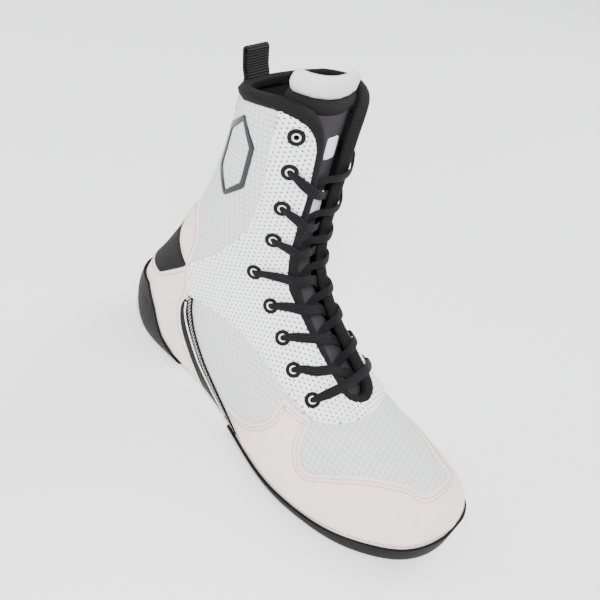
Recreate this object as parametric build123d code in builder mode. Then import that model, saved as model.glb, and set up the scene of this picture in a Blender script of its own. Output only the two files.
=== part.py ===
"""High-top boxing boot, right foot, in millimetres.

+X points to the toe, +Y to the inner (medial) side, +Z up.  The boot stands on z = 0.
Outlines are drawn in side view, with x measured forward from the back of the heel, and are
moved by HEEL_TO_ORIGIN so that the origin ends up under the middle of the boot.
"""
import os
from math import ceil, cos, pi, radians, sin

from build123d import *

# ---------------------------------------------------------------- driving dimensions
HEEL_TO_ORIGIN = 143.0      # from the back of the heel to the origin, along X
WIDTH_TO_ORIGIN = -5.0      # from the heel's centre line to the origin, along Y

MESH = 1.2                  # air-mesh outer shell
FOAM = 1.65                 # spacer foam, heel counter and toe puff, all in one layer
LINING = 0.95
OVERLAY = 1.2               # leather and film panels laid on the mesh
LAYER_GAP = 0.15
EMBLEM = 0.8

GROUND_CLEAR = 300.0        # larger than the boot, for cutting prisms
FLAT_END = 205.0            # the sole is flat back to front as far as this
TOE_SPRING_R = 271.0        # then it curves up to the toe on this radius
OUTSOLE = 4.0
MIDSOLE_TOP = 9.1
WALL_TOP = 11.0             # rubber wall of the forefoot outsole
STROBEL = 1.2
INSOLE = 4.0
SOLE_PROUD = 3.5            # how far the rubber stands out from the upper
SOLE_POCKET = 1.6           # inner face of the rubber wall
TREAD_PITCH = 9.0
TREAD_GROOVE = 1.8
TREAD_DEPTH = 1.2

SLOT_HALF = 13.0            # half the gap between the two eyestay flaps
BINDING = 2.4               # binding beyond the edge of a flap or of the collar
BINDING_LAP = 5.0           # binding lapped over the panel
BINDING_SKIN = 0.55

TONGUE_DEPTH = 8.6          # the tongue's front face under the mesh's outer face
TONGUE_SKIN = 1.0
TONGUE_PAD = 3.0
TONGUE_HALF = 25.0
TONGUE_FOLD_Z = 250.2       # the free lip of the tongue folds here, just above the flaps
TONGUE_TOP_Z = 262.5
LIP_GAP = 0.5

EYELET_RING_R = 5.0
EYELET_WASHER_R = 3.3
EYELET_HOLE_R = 2.1
LACE_WIDTH = 6.5
LACE_THICK = 1.3
LACE_STEP = 5.0

TAB_WIDTH = 20.0
TAB_AXIS = (38.0, 233.4)    # fold of the pull tab, in side view
TAB_NECK_R = 1.5
TAB_HEAD_R = 2.2
TAB_WEB = 1.5
TAB_HEIGHT = 11.0           # from the fold to the centre of the loop's rounded head
TAB_LEAN = 4.0              # how far back the head leans


class Section:
    """One closed cross-section, on a plane through its top and bottom points and along Y."""

    def __init__(self, top, bottom, lateral, medial, centre, waist, crown, base):
        self.top, self.bottom = top, bottom
        self.lateral, self.medial, self.centre = lateral, medial, centre
        self.waist = waist              # height of the widest point, as a share of the section
        self.crown, self.base = crown, base     # superellipse powers above and below it


# top point, bottom point, lateral and medial half widths, centre line, waist, powers
SECTIONS = [
    Section((288.6, 31), (288.6, 14), 9, 9, 11, 0.45, 2.0, 2.0),        # toe
    Section((285, 38), (286, 8), 22, 21, 11, 0.35, 2.0, 2.4),
    Section((275, 47), (276, 3), 37, 33, 10, 0.35, 2.1, 3.0),
    Section((258, 53), (258, -1), 47, 41, 8, 0.33, 2.1, 3.4),
    Section((236, 59), (236, -2), 54, 45, 5, 0.32, 2.1, 3.6),
    Section((212, 69), (211, -2), 57, 47, 2, 0.32, 2.0, 3.6),           # ball of the foot
    Section((188, 82), (185, -2), 57, 46, 0, 0.33, 1.9, 3.6),
    Section((166, 97), (155, -2), 53, 42, 0, 0.35, 1.9, 3.4),
    Section((150, 110), (122, -2), 45, 38, 0, 0.38, 1.9, 3.2),          # instep
    Section((139, 121), (86, -2), 39, 36, 0, 0.42, 2.0, 3.0),
    Section((132, 131), (48, -4), 36, 35, 0, 0.44, 2.0, 2.8),
    Section((127, 140), (12, -2), 35, 34, 0, 0.46, 2.1, 2.6),           # heel
    Section((124, 150), (-2, 24), 34, 34, 0, 0.48, 2.1, 2.4),
    Section((121, 162), (1, 54), 34, 34, 0, 0.50, 2.1, 2.2),
    Section((119, 176), (13, 84), 34, 34, 0, 0.50, 2.1, 2.1),           # ankle
    Section((117, 192), (25, 116), 35, 35, 0, 0.50, 2.1, 2.0),
    Section((115, 210), (34, 148), 36, 36, 0, 0.50, 2.1, 2.0),
    Section((113, 230), (39, 180), 37, 37, 0, 0.50, 2.1, 2.0),          # shaft
    Section((111, 252), (41, 210), 38, 38, 0, 0.50, 2.1, 2.0),
    Section((110, 276), (41, 236), 38, 38, 0, 0.50, 2.1, 2.0),
]
OUTLINE_POINTS = 24
EVEN_STEPS = [step / OUTLINE_POINTS for step in range(OUTLINE_POINTS + 1)]
TOE_ROOM = 25.0

# the collar's edge in side view, from behind the heel to in front of the shin
COLLAR = [(10, 226), (42, 228), (62, 238), (84, 245), (103, 247), (130, 246)]
# the throat zone in side view: everything in front of this line is open between the flaps
THROAT = [(194, 50), (194, 110), (150, 140), (140, 180), (140, 290),
          (84, 290), (84, 165), (90, 122), (118, 92), (152, 72)]
# eyelets: x and z in side view, and how far each stands off the centre line
EYELETS = [
    (99, 230, 30), (101, 207, 28), (103, 181, 26), (104, 156, 25), (100, 127, 27),
    (119, 111, 26), (137, 98, 28), (155, 86, 32), (176, 77, 33),
]
# the point of the instep's ridge that lies between each pair
RIDGE = [
    (112.5, 232), (115, 209), (117, 184), (120, 162), (124.5, 147),
    (134, 127.5), (146, 113), (163, 99), (184, 84.5),
]
LACED_FROM = 1              # the top pair of eyelets is left unlaced

SIDE = Plane(origin=(-HEEL_TO_ORIGIN, 0, 0), x_dir=(1, 0, 0), z_dir=(0, -1, 0))


# ---------------------------------------------------------------- the last: nested bodies
def edge_normal(points, i):
    """Outward unit normal, in side view, of a line of points that has the boot on its left."""
    before, after = points[max(i - 1, 0)], points[min(i + 1, len(points) - 1)]
    along = (Vector(*after) - Vector(*before)).normalized()
    return Vector(along.Y, -along.X)


def section_face(i, grow):
    """Plane and outline points of section i, with its surface moved outwards by grow."""
    section = SECTIONS[i]
    tops = [s.top for s in SECTIONS]
    bottoms = [s.bottom for s in SECTIONS]
    top = Vector(*section.top) + edge_normal(tops, i) * grow
    bottom = Vector(*section.bottom) - edge_normal(bottoms, i) * grow
    rise = top - bottom
    plane = Plane(
        origin=(bottom.X - HEEL_TO_ORIGIN, section.centre - WIDTH_TO_ORIGIN, bottom.Y),
        x_dir=(0, 1, 0),
        z_dir=(rise.Y, 0, -rise.X),
    )
    points = []
    for step in range(OUTLINE_POINTS):
        angle = 2 * pi * step / OUTLINE_POINTS
        half = (section.medial if sin(angle) > 0 else section.lateral) + grow
        power = section.crown if cos(angle) >= 0 else section.base
        reach = abs(cos(angle)) ** (2 / power)
        share = section.waist + (1 - section.waist) * reach
        if cos(angle) < 0:
            share = section.waist * (1 - reach)
        side = half * abs(sin(angle)) ** (2 / power)
        points.append((side if sin(angle) > 0 else -side, share * rise.length))
    return plane, points


BODIES = {}


def body(grow):
    """The boot's solid outer form, with its surface moved outwards by grow.

    Deep forms start behind the toe, where a section is still wider than TOE_ROOM.
    """
    if grow not in BODIES:
        widths = [section.lateral + min(grow, 0) * 1.5 for section in SECTIONS]
        first = 0 if grow > -MESH * 4 else next(i for i, half in enumerate(widths) if half > TOE_ROOM)
        with BuildPart() as form:
            for i in range(first, len(SECTIONS)):
                plane, points = section_face(i, grow)
                with BuildSketch(plane):
                    with BuildLine():
                        add(Edge.make_spline(points, periodic=True, parameters=EVEN_STEPS))
                    make_face()
            loft()
        BODIES[grow] = form.part
    return BODIES[grow]


def side_prism(points, near=-GROUND_CLEAR, far=GROUND_CLEAR):
    """A side-view outline extruded across the boot, from y = near to y = far."""
    with BuildPart() as prism:
        with BuildSketch(SIDE.offset(-near)):
            with BuildLine():
                Polyline(*points, close=True)
            make_face()
        extrude(amount=near - far)
    return prism.part


def sole_slab(low, high):
    """The space between two heights over the sole's bearing surface, with its toe spring."""
    spring = radians(25)

    def arc_end(height):
        reach = TOE_SPRING_R - height
        return (FLAT_END + reach * sin(spring), TOE_SPRING_R - reach * cos(spring))

    with BuildPart() as slab:
        with BuildSketch(SIDE.offset(GROUND_CLEAR / 2)):
            with BuildLine():
                Line((-40, low), (FLAT_END, low))
                TangentArc((FLAT_END, low), arc_end(low), tangent=(1, 0))
                Line(arc_end(low), arc_end(high))
                TangentArc((FLAT_END, high), arc_end(high), tangent=(1, 0))
                Line((FLAT_END, high), (-40, high))
                Line((-40, high), (-40, low))
            make_face()
        extrude(amount=-GROUND_CLEAR)
    return slab.part


def layer(inner, outer, keep, drop=()):
    """The skin between two offsets of the boot's surface, kept inside and cut by prisms."""
    with BuildPart() as skin:
        add(body(outer))
        for region in keep:
            add(region, mode=Mode.INTERSECT)
        add(body(inner), mode=Mode.SUBTRACT)
        for region in drop:
            add(region, mode=Mode.SUBTRACT)
    return skin.part


def finish(piece, name):
    piece.label = name
    export_step(piece, f"parts/{name}.step")
    print(f"{name:24s} {len(piece.solids()):3d} solids {piece.volume / 1000:9.2f} cm3")


# ---------------------------------------------------------------- cutting regions
def under_collar(raise_by=0.0):
    """Everything below the collar's edge, moved up by raise_by, and above the sole."""
    line = [(x, z + raise_by) for x, z in COLLAR]
    return side_prism(line + [(GROUND_CLEAR + 20, line[-1][1]), (GROUND_CLEAR + 20, -20),
                              (-60, -20), (-60, line[0][1])])


def slot(half):
    """The gap between the flaps, half wide on each side of the centre line."""
    centre = -WIDTH_TO_ORIGIN
    return side_prism(THROAT, centre - half, centre + half)


def surface_frame(x, y, z, height=0.0):
    """Plane at the boot's surface nearest to a point, facing out, raised by height.

    x and z are in side view, and y is measured from the heel's centre line.
    """
    guess = Vertex(x - HEEL_TO_ORIGIN, y - WIDTH_TO_ORIGIN, z)
    surface = body(0).faces().sort_by(lambda face: face.area)[-1]
    on_surface = surface.distance_to_with_closest_points(guess)[1]
    normal = surface.normal_at(on_surface)
    if normal.dot(on_surface - Vector(SHIN_CORE[0] - HEEL_TO_ORIGIN, -WIDTH_TO_ORIGIN, SHIN_CORE[1])) < 0:
        normal = -normal
    return Plane(origin=on_surface + normal * height, z_dir=normal)


def drill(skins):
    """Cut the eighteen eyelet holes through a layer."""
    with BuildPart() as drilled:
        add(skins)
        for frame in EYELET_FRAMES:
            with BuildSketch(frame.offset(-8)):
                Circle(EYELET_HOLE_R)
            extrude(amount=14, mode=Mode.SUBTRACT)
    return drilled.part


# ---------------------------------------------------------------- panel outlines, side view
TOE_CAP = [(143.6, -5), (143.6, 13.6), (122, 23.2), (145, 34), (158, 48), (162, 58), (161, 70.5),
           (184, 67.5), (187, 56), (192, 48), (200, 42), (213, 47), (230, 52), (253, 52),
           (268, 50), (276, 64), (320, 64), (320, -5)]
EYESTAY = [(85, 290), (88, 226), (89, 206), (91, 188), (88, 156), (74, 126), (54.5, 101), (59, 76),
           (83, 81), (114, 82), (140, 78), (158, 74.5), (176, 70.5), (190, 69.3), (203, 70),
           (213, 66), (218, 90), (160, 150), (150, 290)]
HEEL_STRAP = [(-20, 64), (8, 66), (27, 70), (51, 96.5), (38, 105), (26, 113), (-5, 119), (-20, 119)]
HEEL_FOXING = [(-20, -5), (98, -5), (90, 14), (65.5, 40.5), (56.4, 60.5), (58.2, 75.5), (53.6, 99),
               (52, 96), (27.2, 69.2), (8, 65.2), (-20, 63.2)]
ANKLE_PATCH = [(26.6, 114.4), (38.4, 106.3), (51, 98), (53.6, 102.5), (54, 126), (42, 142), (33, 131)]
SIDE_SCOOP = [(59.2, 75.4), (57, 61), (66, 41.5), (90.6, 15), (98, -5), (140, -5), (134, 8),
              (91.5, 28.6), (69.6, 49.8), (60.2, 75.6)]
SIDE_BRAID = [(60.7, 75.8), (70.2, 50.2), (92, 29.2), (134.6, 8.6), (141, -5), (143.2, -5),
              (143.2, 13), (96, 33.6), (75, 54), (65.2, 77)]
HEEL_POD = [(-20, -1), (63, -1), (63, 5), (46, 20), (33, 40), (19, 53), (4, 51), (-20, 47)]
HEEL_COUNTER = [(-20, -5), (78, -5), (72, 40), (48, 88), (20, 101), (-20, 101)]
TOE_PUFF = [(232, -20), (238, 90), (330, 90), (330, -20)]
COLLAR_PAD = [(-20, 101), (20, 101), (48, 88), (100, 118), (170, 190), (170, 300), (-20, 300)]
BADGE_CENTRE = (66, 197)
BADGE_HEIGHT = 58.0
BADGE_WIDTH = 26.0
TONGUE_ZONE = [(207, 40), (207, 120), (150, 160), (145, 300), (78, 300), (80, 165), (84, 116),
               (112, 84), (150, 62)]
TONGUE_SEAM_Z = 240.6       # the black trim is sewn on here
SHIN_CORE = (80, 100)       # a point inside the boot, for telling out from in

EYELET_FRAMES = [
    surface_frame(x, side * off, z) for x, z, off in EYELETS for side in (-1, 1)
]

HEEL_CENTRE = -WIDTH_TO_ORIGIN
LATERAL_SIDE = (-GROUND_CLEAR, HEEL_CENTRE)
MEDIAL_SIDE = (HEEL_CENTRE, GROUND_CLEAR)
below_sole = sole_slab(-60, MIDSOLE_TOP + 0.1)
below_collar = under_collar()
slot_gap = slot(SLOT_HALF)


def hexagon(centre, width, height, border=0.0):
    """Upright six-sided badge outline in side view, moved inwards by border."""
    half_w, half_h = width / 2 - border, height / 2 - border * 1.2
    shoulder = half_h * 0.5
    x, z = centre
    return [(x, z + half_h), (x + half_w, z + shoulder), (x + half_w, z - shoulder),
            (x, z - half_h), (x - half_w, z - shoulder), (x - half_w, z + shoulder)]


def overlay(outline, thickness=OVERLAY, start=0.1, drop=()):
    """A panel laid on the mesh, on both sides of the boot."""
    return layer(start, start + thickness, [side_prism(outline), below_collar],
                 [below_sole, slot_gap, *drop])


def one_side(piece, side):
    """The lateral or the medial half of a piece that spans both sides."""
    near, far = side
    with BuildPart() as half:
        add(piece)
        with BuildSketch(SIDE.offset(-near)):
            Rectangle(4 * GROUND_CLEAR, 4 * GROUND_CLEAR)
        extrude(amount=near - far, mode=Mode.INTERSECT)
    return half.part


# ---------------------------------------------------------------- sole
def make_forefoot_outsole():
    zone = [(127, -10), (131, 16), (330, 70), (330, -10)]
    with BuildPart() as outsole:
        add(body(SOLE_PROUD))
        add(side_prism(zone), mode=Mode.INTERSECT)
        add(sole_slab(0, WALL_TOP), mode=Mode.INTERSECT)
        with BuildPart(mode=Mode.PRIVATE) as inside:
            add(body(SOLE_POCKET))
            add(sole_slab(-60, OUTSOLE), mode=Mode.SUBTRACT)
        add(inside.part, mode=Mode.SUBTRACT)
        for i in range(8):
            x = FLAT_END - HEEL_TO_ORIGIN - 60 + i * TREAD_PITCH
            with BuildSketch(Plane.XY):
                with Locations(Location((x, HEEL_CENTRE), 25)):
                    Rectangle(TREAD_GROOVE, GROUND_CLEAR)
            extrude(amount=TREAD_DEPTH, mode=Mode.SUBTRACT)
    return outsole.part


def make_heel_outsole():
    with BuildPart() as outsole:
        add(body(SOLE_PROUD))
        add(side_prism(HEEL_POD), mode=Mode.INTERSECT)
        add(sole_slab(0, GROUND_CLEAR / 2), mode=Mode.INTERSECT)
        with BuildPart(mode=Mode.PRIVATE) as inside:
            add(body(SOLE_POCKET))
            add(sole_slab(-60, OUTSOLE), mode=Mode.SUBTRACT)
        add(inside.part, mode=Mode.SUBTRACT)
    return outsole.part


SHANK = (52, 138, 15)       # from, to, and half width of the arch shank
SHANK_THICK = 2.0


def shank_block(clearance):
    start, end, half = SHANK
    outline = [(start - clearance, MIDSOLE_TOP - SHANK_THICK - clearance),
               (end + clearance, MIDSOLE_TOP - SHANK_THICK - clearance),
               (end + clearance, MIDSOLE_TOP + clearance), (start - clearance, MIDSOLE_TOP + clearance)]
    return side_prism(outline, HEEL_CENTRE - half - clearance, HEEL_CENTRE + half + clearance)


def make_midsole():
    with BuildPart() as midsole:
        add(body(SOLE_POCKET - 0.1))
        add(sole_slab(OUTSOLE + 0.1, MIDSOLE_TOP), mode=Mode.INTERSECT)
        add(shank_block(0.1), mode=Mode.SUBTRACT)
    return midsole.part


def footbed(low, high, inset):
    with BuildPart() as bed:
        add(body(inset))
        add(sole_slab(low, high), mode=Mode.INTERSECT)
    return bed.part


# ---------------------------------------------------------------- lace, eyelets, binding
def make_binding():
    """Binding folded round the collar and down both edges of the throat."""
    inner, outer = -(MESH + FOAM + LINING + 2 * LAYER_GAP + 0.8), OVERLAY + 0.8
    with BuildPart() as core:
        add(under_collar(-BINDING_LAP))
        add(slot(SLOT_HALF + BINDING_LAP), mode=Mode.SUBTRACT)
    with BuildPart() as wrapped:
        add(below_collar)
        add(slot_gap, mode=Mode.SUBTRACT)
    with BuildPart() as panels:
        add(layer(inner + BINDING_SKIN, outer - BINDING_SKIN, [wrapped.part]))
    return layer(inner, outer, [under_collar(BINDING)],
                 [slot(SLOT_HALF - BINDING), core.part, below_sole, panels.part])


def eyelet_pieces(outer_r, inner_r, low, high):
    """One flat ring at every eyelet, as a group of solids."""
    with BuildPart() as rings:
        for frame in EYELET_FRAMES:
            with BuildSketch(frame.offset(low)):
                Circle(outer_r)
                Circle(inner_r, mode=Mode.SUBTRACT)
            extrude(amount=high - low)
    return rings.part


def in_between(stations):
    """The stations with more put between them, so that the lace follows the boot's curve."""
    dense = [stations[0]]
    for start, end in zip(stations, stations[1:]):
        steps = ceil((Vector(*end[:3]) - Vector(*start[:3])).length / LACE_STEP)
        for i in range(1, steps + 1):
            dense.append(tuple(a + (b - a) * i / steps for a, b in zip(start, end)))
    return dense


def lace_run(stations):
    """A flat lace through stations of (x, y, z, height over the boot's surface)."""
    frames = [surface_frame(x, y, z, height) for x, y, z, height in in_between(stations)]
    with BuildPart() as run:
        for i, frame in enumerate(frames):
            before, after = frames[max(i - 1, 0)], frames[min(i + 1, len(frames) - 1)]
            along = (after.origin - before.origin).normalized()
            across = frame.z_dir.cross(along)
            with BuildSketch(Plane(origin=frame.origin, x_dir=across, z_dir=along)):
                Rectangle(LACE_WIDTH, LACE_THICK)
        loft(ruled=True)
    length = sum((b.origin - a.origin).length for a, b in zip(frames, frames[1:]))
    return run.part, length


RING_TOP = 2.2
LACE_OVER = RING_TOP + 0.5 + LACE_THICK / 2     # lace centre where it lies on ring or binding
LACE_UNDER = -6.5                               # lace centre between the flap and the tongue


def across_instep(level, y, height):
    """Station at a level between eyelet pairs, such as 2.5, and y off the centre line."""
    k = min(int(level), len(EYELETS) - 2)
    part = level - k

    def mix(values):
        return values[k] + (values[k + 1] - values[k]) * part

    off = mix([eyelet[2] for eyelet in EYELETS])
    forward = 1 - min(abs(y) / off, 1) ** 2
    x, z = (
        mix([eyelet[axis] for eyelet in EYELETS]) * (1 - forward)
        + mix([point[axis] for point in RIDGE]) * forward
        for axis in (0, 1)
    )
    return (x, y, z, height)


def crossing(k, side):
    """Stations of the run from under one flap at eyelet k + 1, over the other, to eyelet k."""
    from_off, to_off = EYELETS[k + 1][2], EYELETS[k][2]
    over = 1.9 if side < 0 else 0.0     # lateral runs lie on the medial ones in the middle
    return [
        across_instep(k + 1.0, -side * (from_off - 4), LACE_UNDER),
        across_instep(k + 0.75, -side * 13, LACE_UNDER),
        across_instep(k + 0.50, 0, -6.1 + over),
        across_instep(k + 0.34, side * 8.3, 3.0),
        across_instep(k + 0.24, side * 12.4, LACE_OVER),
        across_instep(k, side * (to_off - 1.5), LACE_OVER),
    ]


def bottom_bar():
    level, off = len(EYELETS) - 1, EYELETS[-1][2]
    return [across_instep(level, y, height) for y, height in (
        (-off + 1.5, LACE_OVER), (-11, LACE_OVER), (-5, 1.8), (5, 1.8), (11, LACE_OVER),
        (off - 1.5, LACE_OVER))]


def tail(side):
    """A lace end, tucked behind the flap and down inside the shaft."""
    return [(99, side * 25, 212, LACE_UNDER), (90, side * 29, 212, LACE_UNDER),
            (80, side * 31, 204, LACE_UNDER), (74, side * 31, 186, LACE_UNDER),
            (71, side * 31, 160, LACE_UNDER), (70, side * 31, 134, LACE_UNDER)]


def make_lace():
    total = 0.0
    with BuildPart() as lace:
        runs = [crossing(k, side) for k in range(LACED_FROM, len(EYELETS) - 1) for side in (-1, 1)]
        for stations in runs + [bottom_bar(), tail(-1), tail(1)]:
            run, length = lace_run(stations)
            add(run)
            total += length
    print(f"lace along its runs {total:.0f} mm")
    return lace.part


AGLET_LENGTH = 18.0
AGLET_R = 1.7


def make_aglets():
    with BuildPart() as aglets:
        for side in (-1, 1):
            x, y, z, height = tail(side)[-1]
            frame = surface_frame(x, y, z, height)
            with BuildSketch(Plane(origin=frame.origin - Vector(0, 0, LACE_THICK), z_dir=(0, 0, -1))):
                Circle(AGLET_R)
            extrude(amount=AGLET_LENGTH)
    return aglets.part


# ---------------------------------------------------------------- tongue and pull tab
def tongue_layer(deep, shallow, low_z, high_z, half=TONGUE_HALF):
    band = side_prism([(60, low_z), (240, low_z), (240, high_z), (60, high_z)],
                      HEEL_CENTRE - half, HEEL_CENTRE + half)
    return layer(-deep, -shallow, [side_prism(TONGUE_ZONE), band])


def make_tongue_lip():
    """The free upper lip, cut on a slope underneath so that it can tip inwards."""
    slope = 0.25
    front, back = 112.0, 70.0
    outline = [(front, TONGUE_FOLD_Z), (back, TONGUE_FOLD_Z + slope * (front - back)),
               (back, TONGUE_TOP_Z), (front, TONGUE_TOP_Z)]
    wedge = side_prism(outline, HEEL_CENTRE - TONGUE_HALF, HEEL_CENTRE + TONGUE_HALF)
    return layer(-TONGUE_DEPTH - 4.8, -TONGUE_DEPTH + 0.6, [wedge])


def make_tab_loop():
    x, z = TAB_AXIS
    near = HEEL_CENTRE - TAB_WIDTH / 2
    with BuildPart() as loop:
        with BuildSketch(SIDE.offset(-near)):
            for shrink, mode in ((0.0, Mode.ADD), (TAB_WEB, Mode.SUBTRACT)):
                with BuildSketch(mode=mode):
                    with Locations((x, z)):
                        Circle(max(TAB_NECK_R - shrink, 0.25))
                    with Locations((x - TAB_LEAN, z + TAB_HEIGHT)):
                        Circle(TAB_HEAD_R - shrink)
                    make_hull()
            with Locations((x, z)):
                Circle(TAB_NECK_R)
        extrude(amount=-TAB_WIDTH)
    return loop.part


def make_tab_base():
    strip = side_prism([(0, 206), (60, 206), (60, TAB_AXIS[1] - TAB_NECK_R - 0.4),
                        (0, TAB_AXIS[1] - TAB_NECK_R - 0.4)],
                       HEEL_CENTRE - TAB_WIDTH / 2, HEEL_CENTRE + TAB_WIDTH / 2)
    behind = side_prism([(0, 150), (60, 150), (60, 280), (0, 280)])
    return layer(OVERLAY + 0.9, OVERLAY + 0.9 + TAB_WEB, [strip, behind])


# ---------------------------------------------------------------- write the parts
os.makedirs("parts", exist_ok=True)

MESH_IN = -MESH
FOAM_OUT = MESH_IN - LAYER_GAP
FOAM_IN = FOAM_OUT - FOAM
LINING_OUT = FOAM_IN - LAYER_GAP
LINING_IN = LINING_OUT - LINING

shell = drill(layer(MESH_IN, 0, [below_collar], [below_sole, slot_gap]))
vamp_zone = side_prism([(176, -20), (176, 150), (330, 150), (330, -20)])
rear_zone = side_prism([(176, -20), (176, 300), (-60, 300), (-60, -20)])
with BuildPart() as quarters:
    add(shell)
    add(rear_zone, mode=Mode.INTERSECT)
with BuildPart() as vamp:
    add(shell)
    add(vamp_zone, mode=Mode.INTERSECT)
finish(one_side(quarters.part, LATERAL_SIDE), "quarter_lateral")
finish(one_side(quarters.part, MEDIAL_SIDE), "quarter_medial")
finish(vamp.part, "vamp")

foam_regions = {
    "heel_counter": side_prism(HEEL_COUNTER),
    "toe_puff": side_prism(TOE_PUFF),
    "collar_padding": side_prism(COLLAR_PAD),
}
foam = drill(layer(FOAM_IN, FOAM_OUT, [below_collar], [below_sole, slot_gap]))
for name, region in foam_regions.items():
    with BuildPart() as piece:
        add(foam)
        add(region, mode=Mode.INTERSECT)
    finish(piece.part, name)
with BuildPart() as spacer:
    add(foam)
    for region in foam_regions.values():
        add(region, mode=Mode.SUBTRACT)
finish(spacer.part, "spacer_foam")
finish(drill(layer(LINING_IN, LINING_OUT, [below_collar], [below_sole, slot_gap])), "lining")

eyestay = drill(overlay(EYESTAY))
finish(one_side(eyestay, LATERAL_SIDE), "eyestay_lateral")
finish(one_side(eyestay, MEDIAL_SIDE), "eyestay_medial")
finish(overlay(TOE_CAP), "toe_cap")
finish(overlay(HEEL_FOXING), "heel_foxing")
finish(overlay(HEEL_STRAP), "heel_strap")
finish(overlay(ANKLE_PATCH), "ankle_patches")
finish(overlay(SIDE_SCOOP, SOLE_POCKET - 0.3), "side_scoops")
finish(overlay(SIDE_BRAID, SOLE_POCKET - 0.3), "side_braids")
badge_ring = hexagon(BADGE_CENTRE, BADGE_WIDTH, BADGE_HEIGHT)
badge_hole = side_prism(hexagon(BADGE_CENTRE, BADGE_WIDTH, BADGE_HEIGHT, 3.2))
finish(overlay(badge_ring, EMBLEM, drop=[badge_hole]), "side_badges")

finish(make_binding(), "edge_binding")
finish(eyelet_pieces(EYELET_RING_R, EYELET_WASHER_R + 0.1, OVERLAY + 0.2, RING_TOP), "eyelet_rings")
finish(eyelet_pieces(EYELET_WASHER_R, EYELET_HOLE_R, OVERLAY + 0.2, RING_TOP - 0.2), "eyelet_washers")
finish(make_lace(), "lace")
finish(make_aglets(), "aglets")

skin_in = TONGUE_DEPTH + TONGUE_SKIN
pad_in = skin_in + 0.1 + TONGUE_PAD
back_in = pad_in + 0.1 + TONGUE_SKIN
finish(tongue_layer(skin_in, TONGUE_DEPTH, 0, TONGUE_SEAM_Z), "tongue_front")
finish(tongue_layer(pad_in, skin_in + 0.1, 0, TONGUE_SEAM_Z), "tongue_padding")
finish(tongue_layer(back_in, pad_in + 0.1, 0, TONGUE_SEAM_Z), "tongue_lining")
finish(tongue_layer(back_in, TONGUE_DEPTH - 1.4, TONGUE_SEAM_Z + 0.2, TONGUE_FOLD_Z - LIP_GAP),
       "tongue_trim")
finish(make_tongue_lip(), "tongue_lip")
finish(tongue_layer(TONGUE_DEPTH - 0.1, TONGUE_DEPTH - 0.8, 173, 188, 7.5), "lace_keeper")
finish(tongue_layer(TONGUE_DEPTH - 0.1, TONGUE_DEPTH - 0.8, 212, 226, 6.0), "tongue_badge")

finish(make_tab_base(), "pull_tab_base")
finish(make_tab_loop(), "pull_tab")

finish(make_forefoot_outsole(), "forefoot_outsole")
finish(make_heel_outsole(), "heel_outsole")
finish(make_midsole(), "midsole")
finish(shank_block(0), "arch_shank")
finish(footbed(MIDSOLE_TOP + 0.1, MIDSOLE_TOP + 0.1 + STROBEL, LINING_IN - 0.15), "strobel_board")
finish(footbed(MIDSOLE_TOP + 0.2 + STROBEL, MIDSOLE_TOP + 0.2 + STROBEL + INSOLE, LINING_IN - 0.3),
       "insole")
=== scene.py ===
"""High-top boxing boot: fabric, leather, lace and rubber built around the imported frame.

Every panel is a closed skin on one surface, the boot's outer form.  The form is the CAD's fan of
cross-sections, except for the first, at the tip of the toe.  Outlines are in side view, in
millimetres from the heel's back.
"""

from math import cos, pi, radians, sin, tau

import bpy
import numpy as np
from mathutils import Matrix, Vector, kdtree


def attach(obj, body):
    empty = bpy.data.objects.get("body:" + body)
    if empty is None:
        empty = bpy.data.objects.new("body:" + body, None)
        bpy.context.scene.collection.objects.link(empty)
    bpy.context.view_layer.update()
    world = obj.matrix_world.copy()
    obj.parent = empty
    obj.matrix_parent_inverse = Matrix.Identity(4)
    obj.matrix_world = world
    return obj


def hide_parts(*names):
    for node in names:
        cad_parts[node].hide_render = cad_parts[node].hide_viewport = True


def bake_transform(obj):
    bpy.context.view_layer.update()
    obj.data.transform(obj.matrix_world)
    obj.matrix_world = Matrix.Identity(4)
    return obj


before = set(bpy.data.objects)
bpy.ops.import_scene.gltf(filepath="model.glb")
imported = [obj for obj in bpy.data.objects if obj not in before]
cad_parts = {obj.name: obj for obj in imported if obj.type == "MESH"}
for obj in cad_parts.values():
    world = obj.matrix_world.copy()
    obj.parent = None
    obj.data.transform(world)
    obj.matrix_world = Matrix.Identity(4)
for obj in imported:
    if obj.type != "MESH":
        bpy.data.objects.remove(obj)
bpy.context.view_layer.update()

MM = 0.001
ORIGIN = np.array([143.0, -5.0, 0.0])       # the frame's origin, from the back of the heel

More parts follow.
